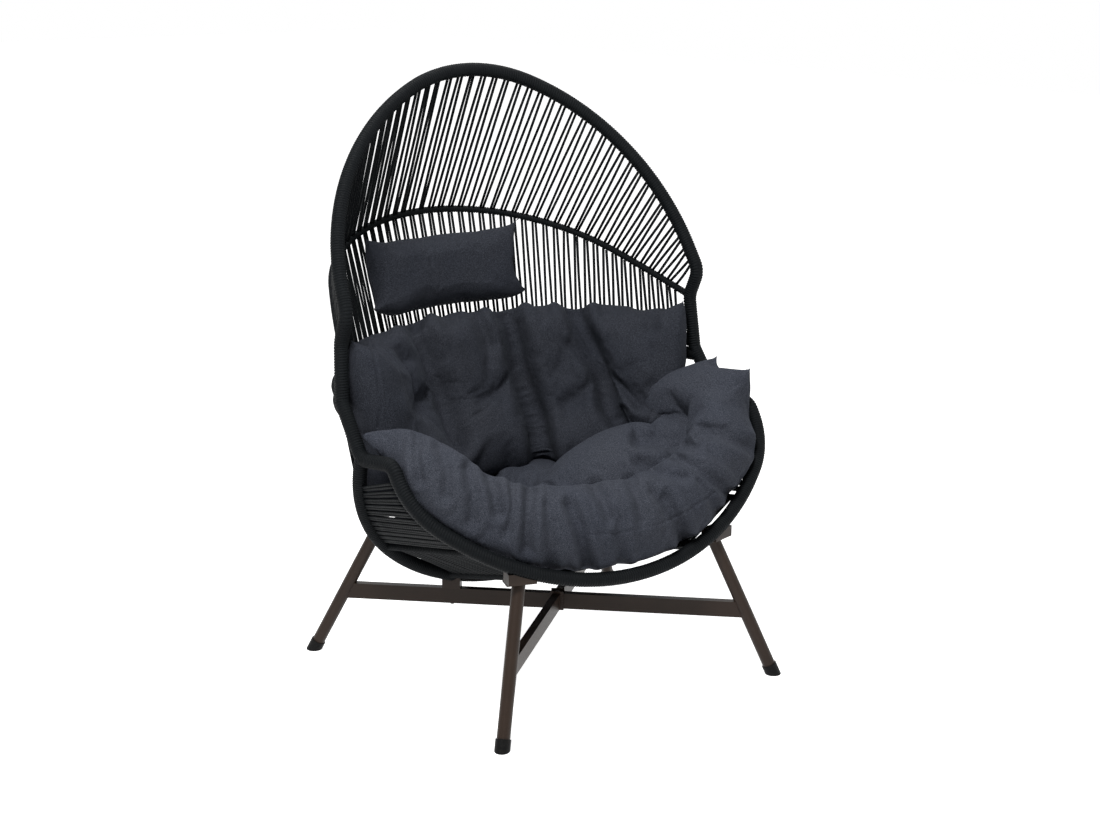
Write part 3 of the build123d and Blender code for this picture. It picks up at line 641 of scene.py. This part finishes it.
# The seat cushion's roll, arms and right lobe as rows of ovals: middle, half thickness and half height
ROLL = (
    (0, -0.358, 0.441, 0.098, 0.098),
    (0.091, -0.355, 0.444, 0.096, 0.096),
    (0.171, -0.344, 0.456, 0.094, 0.094),
    (0.252, -0.324, 0.477, 0.089, 0.089),
    (0.322, -0.295, 0.507, 0.085, 0.085),
    (0.378, -0.268, 0.534, 0.084, 0.084),
    (0.415, -0.236, 0.576, 0.080, 0.080),
    (0.448, -0.168, 0.632, 0.052, 0.052),
    (0.458, -0.118, 0.660, 0.026, 0.026),
)
LEFT_ARM = (
    (-0.458, -0.234, 0.628, 0.012, 0.026),
    (-0.446, -0.205, 0.626, 0.042, 0.052),
    (-0.450, -0.145, 0.634, 0.052, 0.048),
    (-0.478, -0.104, 0.660, 0.042, 0.018),
    (-0.500, -0.084, 0.667, 0.020, 0.007),
)
RIGHT_ARM = (
    (0.482, -0.242, 0.672, 0.012, 0.034),
    (0.460, -0.217, 0.650, 0.038, 0.066),
    (0.442, -0.145, 0.628, 0.056, 0.070),
    (0.436, -0.078, 0.622, 0.064, 0.078),
    (0.420, -0.020, 0.600, 0.070, 0.076),
    (0.404, 0.030, 0.585, 0.060, 0.066),
    (0.390, 0.070, 0.570, 0.016, 0.030),
)
SEAT_LOBE = (
    (0.010, -0.090, 0.435, 0.060, 0.030),
    (0.090, -0.095, 0.452, 0.115, 0.064),
    (0.170, -0.100, 0.464, 0.145, 0.084),
    (0.250, -0.105, 0.476, 0.155, 0.088),
    (0.330, -0.115, 0.490, 0.135, 0.074),
    (0.400, -0.105, 0.520, 0.100, 0.058),
    (0.440, -0.085, 0.535, 0.050, 0.040),
)

# Creases and folds of the back cushion: width in pixels, depth in metres, and the line
BACK_CREASES = (
    (9, 0.030, ((413, 320), (425, 345), (433, 370), (441, 388), (450, 420), (457, 447))),
    (
        10,
        0.034,
        ((502, 303), (512, 325), (516, 345), (520, 370), (528, 395), (537, 420), (541, 445), (548, 475)),
    ),
    (
        9,
        0.032,
        ((573, 303), (582, 330), (592, 350), (600, 368), (605, 388), (610, 408), (622, 425), (645, 437)),
    ),
    (7, 0.012, ((602, 372), (620, 385), (640, 405))),
    (7, 0.010, ((441, 388), (428, 392), (418, 402))),
    (6, 0.008, ((520, 370), (508, 378), (500, 390))),
    (6, 0.008, ((475, 310), (482, 325), (490, 345))),
    (6, 0.008, ((385, 340), (398, 350), (404, 362))),
    (6, 0.006, ((640, 306), (648, 318), (652, 330))),
    (7, 0.008, ((570, 345), (585, 360), (598, 372))),
    (7, 0.008, ((596, 378), (580, 395), (566, 405))),
)
BACK_SEAMS = (
    (1.6, 0.004, ((372, 342), (377, 370), (381, 405), (378, 428))),
)
BACK_EARS = (
    ((-0.495, 0.010, 0.872), 0.11, 2.2),
    ((0.488, 0.010, 0.858), 0.11, 2.2),
)

# Those of the seat cushion, with the ears at the ends of its arms, and the pillow's corners
SEAT_CREASES = (
    (6, 0.014, ((488, 470), (495, 488), (499, 512))),
    (6, 0.012, ((530, 484), (529, 512), (526, 548))),
    (6, 0.013, ((571, 505), (580, 528), (587, 562))),
    (6, 0.010, ((595, 488), (604, 500), (611, 517))),
    (6, 0.008, ((632, 484), (640, 500), (643, 520))),
    (6, 0.009, ((655, 492), (664, 505), (668, 515))),
    (6, 0.014, ((666, 498), (678, 520), (686, 543))),
    (6, 0.007, ((620, 520), (622, 545), (620, 566))),
    (6, 0.007, ((548, 505), (551, 530), (550, 560))),
    (6, 0.007, ((512, 482), (514, 505), (508, 530))),
    (6, 0.008, ((468, 468), (474, 492), (472, 520))),
    (6, 0.007, ((440, 446), (448, 470), (446, 495))),
    (5, 0.006, ((418, 436), (416, 455), (420, 480))),
    (7, 0.014, ((640, 440), (655, 440), (670, 444), (690, 444))),
    (6, 0.008, ((696, 438), (704, 432), (722, 434), (748, 446))),
    (6, 0.012, ((675, 456), (695, 466), (715, 480), (728, 492))),
    (6, 0.008, ((700, 480), (712, 494), (716, 508))),
    (6, 0.008, ((640, 462), (660, 474), (690, 476))),
)
SEAT_SEAMS = (
    (1.5, 0.003, ((588, 535), (622, 533), (660, 524), (690, 510), (715, 492))),
    (1.5, 0.003, ((380, 442), (384, 462))),
)
SEAT_EARS = (
    ((-0.534, -0.088, 0.664), 0.10, 2.0),
    ((0.526, -0.222, 0.722), 0.10, 2.4),
    ((0.508, -0.092, 0.738), 0.09, 2.4),
    ((0.470, -0.010, 0.600), 0.09, 1.2),
)
PILLOW_EARS = (
    ((-0.259, 0.358, 1.046), 0.09, 1.6),
    ((0.209, 0.386, 1.059), 0.09, 1.6),
    ((-0.281, 0.288, 0.875), 0.07, 2.0),
    ((0.201, 0.332, 0.870), 0.07, 2.0),
)


def apply_modifiers(piece):
    graph = bpy.context.evaluated_depsgraph_get()
    made = bpy.data.meshes.new_from_object(piece.evaluated_get(graph))
    piece.modifiers.clear()
    old = piece.data
    piece.data = made
    bpy.data.meshes.remove(old)


def remeshed(piece, size):
    modifier = piece.modifiers.new("remesh", "REMESH")
    modifier.mode = "VOXEL"
    modifier.voxel_size = size
    apply_modifiers(piece)


def smooth_line(points, steps, closed=False):
    """A smooth curve through a few points."""
    points = np.array(points, float)
    size = len(points)
    line = []
    for place in range(size if closed else size - 1):
        around = [place + step for step in (-1, 0, 1, 2)]
        if closed:
            around = [step % size for step in around]
        else:
            around = [min(max(step, 0), size - 1) for step in around]
        a, b, c, d = points[around]
        for t in np.linspace(0, 1, steps, endpoint=False):
            square = (2 * a - 5 * b + 4 * c - d) * t**2
            cube = (3 * b - a - 3 * c + d) * t**3
            line.append(0.5 * (2 * b + (c - a) * t + square + cube))
    if not closed:
        line.append(points[-1])
    return np.array(line)


def skin(name, rings):
    """A closed mesh through rings of points, all of the same count."""
    rings = np.array(rings)
    return mesh_object(name, rings.reshape(-1, 3), ring_faces(*rings.shape[:2]))


def oval_row(name, stations):
    """A plump row of ovals that stand across the way from each to the next."""
    line = smooth_line(stations, 8)
    ways = np.gradient(line[:, :3], axis=0)
    rings = []
    for (x, y, z, thick, height), way in zip(line, ways):
        out = np.cross(way, (0, 0, 1))
        out /= np.linalg.norm(out)
        up = np.cross(out, way)
        up /= np.linalg.norm(up)
        turns = np.linspace(0, 2 * math.pi, 40, endpoint=False)[:, None]
        rings.append(np.array((x, y, z)) + thick * np.cos(turns) * out + height * np.sin(turns) * up)
    return skin(name, rings)


def back_thinning(degrees):
    """0 in the middle of a lobe, 1 in a channel and more at the ends."""
    edges = (-BACK_END, *BACK_CHANNELS, BACK_END)
    for first, last in zip(edges, edges[1:]):
        if first <= degrees <= last:
            share = (degrees - first) / (last - first)
            channel = (last if share > 0.5 else first) in BACK_CHANNELS
            dip = (1 - math.sin(math.pi * share) ** 0.5) * channel
            edge = max(0.0, 1 - (BACK_END - abs(degrees)) / BACK_END_FADE)
            return dip + BACK_END_THINNING * edge**2
    return 1.0


def back_skin(name):
    """The back cushion before it is creased: a lobed roll of cloth bent round the wall."""
    less_thick, less_high, less_toe = CHANNEL_THINNING
    rings = []
    for degrees in np.linspace(-BACK_END, BACK_END, 150):
        thinning = back_thinning(degrees)
        thick = BACK_THICK * (1 - less_thick * thinning)
        height = BACK_HEIGHT * (1 - less_high * thinning)
        toe = BACK_TOE * max(0, 1 - less_toe * thinning)
        turn = math.radians(degrees)
        outward = np.array((math.sin(turn), math.cos(turn), 0))
        across = outward * math.cos(BACK_TIP) - np.array((0, 0, math.sin(BACK_TIP)))
        rise = outward * math.sin(BACK_TIP) + np.array((0, 0, math.cos(BACK_TIP)))
        middle = outward * BACK_RADIUS + np.array((0, WALL_CENTRE_Y, BACK_MIDDLE_Z))
        outline = [(thick * out - toe * inward, height * up) for out, up, inward in BACK_SECTION]
        rings.append([middle + across * u + rise * v for u, v in smooth_line(outline, 6, closed=True)])
    return skin(name, rings)


def joined(first, *others):
    """Puts the meshes of several pieces into the first."""
    mesh = bmesh.new()
    for piece in (first, *others):
        mesh.from_mesh(piece.data)
    mesh.to_mesh(first.data)
    mesh.free()
    for piece in others:
        bpy.data.objects.remove(piece)


def copied(node, name):
    piece = bpy.data.objects.new(name, NODES[node].data.copy())
    bpy.context.scene.collection.objects.link(piece)
    return piece


def points_of(piece, kind="co"):
    values = np.zeros(len(piece.data.vertices) * 3, np.float32)
    piece.data.vertices.foreach_get(kind, values)
    return values.reshape(-1, 3).astype(float)


def move_to(piece, points):
    piece.data.vertices.foreach_set("co", points.astype(np.float32).ravel())
    piece.data.update()


def seen_at(points):
    """Where points show in the photograph."""
    offset = points - CAMERA_TARGET
    scale = PHOTO_FOCAL / (CAMERA_DISTANCE - offset @ CAMERA_BACK)
    across = PHOTO_SIZE[0] / 2 + offset @ CAMERA_RIGHT * scale
    down = PHOTO_SIZE[1] / 2 - offset @ CAMERA_UP * scale
    return np.stack([across, down], -1)


def distance_from_line(places, line):
    best = np.full(len(places), np.inf)
    line = np.array(line, float)
    for start, end in zip(line, line[1:]):
        way = end - start
        share = np.clip((places - start) @ way / (way @ way), 0, 1)
        best = np.minimum(best, np.linalg.norm(places - start - share[:, None] * way, axis=1))
    return best


def pressed(piece, lines, share=1.0):
    """Presses lines of the photograph into the side that faces it; says how near to one each point is."""
    points, normals = points_of(piece), points_of(piece, "normal")
    places = seen_at(points)
    facing = np.clip((normals @ CAMERA_BACK + 0.15) / 0.4, 0, 1)
    nearest = np.zeros(len(points))
    push = np.zeros(len(points))
    lift = np.zeros(len(points))
    for width, depth, line in lines:
        apart = distance_from_line(places, line) / width
        near = (0.55 * np.exp(-(apart**2)) + 0.45 * np.exp(-apart * 2.2)) * facing
        push = np.maximum(push, depth * near)
        lift = np.maximum(lift, PUCKER * depth * np.exp(-(((apart - 2) / 0.8) ** 2)) * facing)
        nearest = np.maximum(nearest, near * min(1, depth / FIRM_DEPTH))
    move_to(piece, points - normals * ((push - lift * (1 - nearest)) * share)[:, None])
    return nearest


def pulled(piece, ears):
    """Draws out corners: a tip, how far round it the cloth follows, and how pointed it gets."""
    points = points_of(piece)
    for tip, reach, sharpness in ears:
        offset = np.array(tip) - points
        gap = np.linalg.norm(offset, axis=1)
        near = np.clip(1 - (gap - gap.min()) / reach, 0, 1) ** sharpness
        points = points + offset * near[:, None] * 0.96
    move_to(piece, points)


def kept_off(piece, path, radius):
    """Lays what has got into or over a wound tube against the tube's inner side."""
    points = points_of(piece)
    middle = points.mean(axis=0)
    line = resampled(path, 0.005)[0]
    tree = kdtree.KDTree(len(line))
    for index, place in enumerate(line):
        tree.insert(place, index)
    tree.balance()
    near_box = np.all((points > line.min(axis=0) - 0.04) & (points < line.max(axis=0) + 0.04), axis=1)
    for index in np.nonzero(near_box)[0]:
        place, _, gap = tree.find(points[index])
        offset = points[index] - np.array(place)
        inward = middle - np.array(place)
        inward /= np.linalg.norm(inward)
        depth = offset @ inward
        if gap < radius or (depth < 0 and gap < 2 * radius):
            across = offset - depth * inward
            width = np.linalg.norm(across)
            across *= min(1, 0.95 * radius / max(width, 1e-6))
            points[index] = np.array(place) + across + inward * math.sqrt(radius**2 - across @ across)
    move_to(piece, points)


def rumpled(piece, size, height, seed):
    """Soft unevenness all over."""
    points, normals = points_of(piece), points_of(piece, "normal")
    chance = np.random.default_rng(seed)
    wave = np.zeros(len(points))
    for turn in range(9):
        way = chance.normal(0, 1, 3)
        way = way / np.linalg.norm(way) * 2 * math.pi / (size * chance.uniform(0.7, 1.6))
        wave += np.sin(points @ way + chance.uniform(0, 2 * math.pi)) / 3
    move_to(piece, points + normals * (wave * height)[:, None])


def twisted(piece):
    """Turns the feet of the back cushion's lobes round the wall, as they lie in the photograph."""
    points = points_of(piece)
    out = points[:, :2] - (0, WALL_CENTRE_Y)
    angle = np.degrees(np.arctan2(out[:, 0], out[:, 1]))
    low = np.clip((TWIST_TOP - points[:, 2]) / (TWIST_TOP - TWIST_FOOT), 0, 1)
    angle = np.radians(angle + np.interp(angle, TWIST_FROM, TWIST_BY) * low * low * (3 - 2 * low))
    radius = np.linalg.norm(out, axis=1)
    points[:, 0] = radius * np.sin(angle)
    points[:, 1] = WALL_CENTRE_Y + radius * np.cos(angle)
    move_to(piece, points)


def stuffed(piece, held, pressure, slack, cap):
    """Swells a cushion by cloth simulation, held in its creases, so that it puckers beside them."""
    before = points_of(piece)
    group = piece.vertex_groups.new(name="held")
    for index in np.nonzero(held > 0.35)[0]:
        group.add([int(index)], float(held[index]), "REPLACE")
    modifier = piece.modifiers.new("cloth", "CLOTH")
    settings = modifier.settings
    settings.quality = 4
    settings.mass = 0.3
    settings.tension_stiffness = 12
    settings.compression_stiffness = 6
    settings.shear_stiffness = 5
    settings.bending_stiffness = 0.2
    settings.use_pressure = True
    settings.uniform_pressure_force = pressure
    settings.shrink_min = -slack
    settings.effector_weights.gravity = 0
    settings.vertex_group_mass = "held"
    settings.pin_stiffness = 6
    modifier.collision_settings.use_collision = False
    modifier.point_cache.frame_start = 1
    modifier.point_cache.frame_end = CLOTH_FRAMES
    for step in range(1, CLOTH_FRAMES + 1):
        bpy.context.scene.frame_set(step)
    apply_modifiers(piece)
    piece.vertex_groups.clear()
    bpy.context.scene.frame_set(1)
    moved = points_of(piece) - before
    reach = np.linalg.norm(moved, axis=1)[:, None]
    move_to(piece, before + moved * np.minimum(1, cap / np.maximum(reach, 1e-9)))


def rounded(piece, seams):
    """One finer step of the mesh, then the sewn seams."""
    rounder = piece.modifiers.new("rounder", "SUBSURF")
    rounder.levels = 1
    apply_modifiers(piece)
    pressed(piece, seams)
    piece.data.shade_smooth()


def relaxed(piece, rounds):
    smoother = piece.modifiers.new("relax", "SMOOTH")
    smoother.factor = 0.5
    smoother.iterations = rounds
    apply_modifiers(piece)


def back_cushion():
    piece = back_skin("back_cushion_soft")
    remeshed(piece, CLOTH_GRAIN)
    relaxed(piece, rounds=3)
    twisted(piece)
    rumpled(piece, size=0.14, height=0.0015, seed=5)
    pulled(piece, BACK_EARS)
    held = pressed(piece, BACK_CREASES)
    stuffed(piece, held, pressure=2.2, slack=0.03, cap=0.022)
    pressed(piece, BACK_CREASES, share=0.5)
    for path in (ARCH, HOOD_HOOP, BASKET_HOOP):
        kept_off(piece, path, WRAP_RADIUS + WRAP_CLEARANCE)
    rounded(piece, BACK_SEAMS)
    return piece


def seat_cushion():
    piece = copied("seat_cushion", "seat_cushion_soft")
    mirrored_roll = [(-station[0], *station[1:]) for station in reversed(ROLL[1:])]
    rows = ([*mirrored_roll, *ROLL], LEFT_ARM, RIGHT_ARM, SEAT_LOBE)
    joined(piece, *(oval_row("plump_row", row) for row in rows))
    remeshed(piece, CLOTH_GRAIN)
    relaxed(piece, rounds=5)
    rumpled(piece, size=0.13, height=0.002, seed=6)
    pulled(piece, SEAT_EARS)
    held = pressed(piece, SEAT_CREASES)
    stuffed(piece, held, pressure=2.2, slack=0.03, cap=0.016)
    pressed(piece, SEAT_CREASES, share=0.9)
    for path in (RIM, ARCH):
        kept_off(piece, path, WRAP_RADIUS + WRAP_CLEARANCE)
    rounded(piece, SEAT_SEAMS)
    return piece


def head_pillow():
    piece = copied("head_pillow", "head_pillow_soft")
    remeshed(piece, PILLOW_GRAIN)
    relaxed(piece, rounds=3)
    pulled(piece, PILLOW_EARS)
    rumpled(piece, size=0.10, height=0.0015, seed=7)
    free = np.zeros(len(piece.data.vertices))
    stuffed(piece, free, pressure=2.0, slack=0.02, cap=0.008)
    rounded(piece, ())
    return piece


def finish_cushion(piece, node, fabric):
    piece.data.materials.clear()
    piece.data.materials.append(fabric)
    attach(piece, "root")
    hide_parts(node)


# The back cushion and the pillow take the fabric darkened with painted shade
finish_cushion(back_cushion(), "back_cushion", painted_shade_fabric)
finish_cushion(seat_cushion(), "seat_cushion", seat_fabric)
finish_cushion(head_pillow(), "head_pillow", painted_shade_fabric)


# Studio

WORLD_LIGHT = 0.2
FLOOR_GLOW = 0.93
FLOOR_CORNERS = [(-14, -10, 0), (14, -10, 0), (14, 26, 0), (-14, 26, 0)]


def area_light(name, place, target, size, power):
    light = bpy.data.lights.new(name, "AREA")
    light.shape = "RECTANGLE"
    light.size, light.size_y = size
    light.energy = power
    lamp = bpy.data.objects.new(name, light)
    lamp.location = place
    lamp.rotation_euler = (Vector(target) - Vector(place)).to_track_quat("-Z", "Y").to_euler()
    bpy.context.scene.collection.objects.link(lamp)


def backdrop_ray(nodes, links):
    """1 for the rays that show the white backdrop, and 0 for those that light the chair."""
    rays = nodes.new("ShaderNodeLightPath").outputs
    mirrored_ray = math_node(nodes, links, "MAXIMUM", rays["Is Glossy Ray"], rays["Is Transmission Ray"])
    return math_node(nodes, links, "MAXIMUM", rays["Is Camera Ray"], mirrored_ray)


def studio():
    world = bpy.data.worlds.new("studio")
    bpy.context.scene.world = world
    world.use_nodes = True
    nodes, links = world.node_tree.nodes, world.node_tree.links
    background = nodes["Background"]
    background.inputs["Color"].default_value = (1, 1, 1, 1)
    strength = math_node(nodes, links, "MAXIMUM", backdrop_ray(nodes, links), WORLD_LIGHT)
    links.new(strength, background.inputs["Strength"])
    area_light("key", (-1.9, -1.7, 4.0), (0, 0, 0.6), (1.2, 1.2), 170)
    area_light("fill", (2.6, -3.4, 1.6), (0, 0, 0.6), (1.6, 1.6), 16)
    area_light("top", (0.3, 1.2, 3.6), (0, 0, 0.8), (2.0, 1.6), 50)
    material, nodes, links, shader = new_material("studio_floor")
    grain = noise(nodes, links, coordinates(nodes), 40, 2)
    tone = ramp(nodes, links, grain, [(0.3, (0.93, 0.93, 0.93)), (0.7, (0.95, 0.95, 0.95))])
    links.new(tone, shader.inputs["Base Color"])
    shader.inputs["Roughness"].default_value = 0.9
    shader.inputs["Specular IOR Level"].default_value = 0.1
    shader.inputs["Emission Color"].default_value = (1, 1, 1, 1)
    glow = math_node(nodes, links, "MULTIPLY", backdrop_ray(nodes, links), FLOOR_GLOW)
    links.new(glow, shader.inputs["Emission Strength"])
    floor = mesh_object("studio_floor", FLOOR_CORNERS, [(0, 1, 2, 3)], False)
    floor.data.materials.append(material)


def camera():
    data = bpy.data.cameras.new("photo_camera")
    data.lens = CAMERA_LENS
    data.sensor_width = SENSOR_WIDTH
    back = Vector(CAMERA_BACK)
    eye = bpy.data.objects.new("photo_camera", data)
    eye.location = Vector(CAMERA_TARGET) + back * CAMERA_DISTANCE
    eye.rotation_mode = "QUATERNION"
    eye.rotation_quaternion = (-back).to_track_quat("-Z", "Y")
    bpy.context.scene.collection.objects.link(eye)
    bpy.context.scene.camera = eye


studio()
camera()
bpy.context.scene.view_settings.view_transform = "Standard"
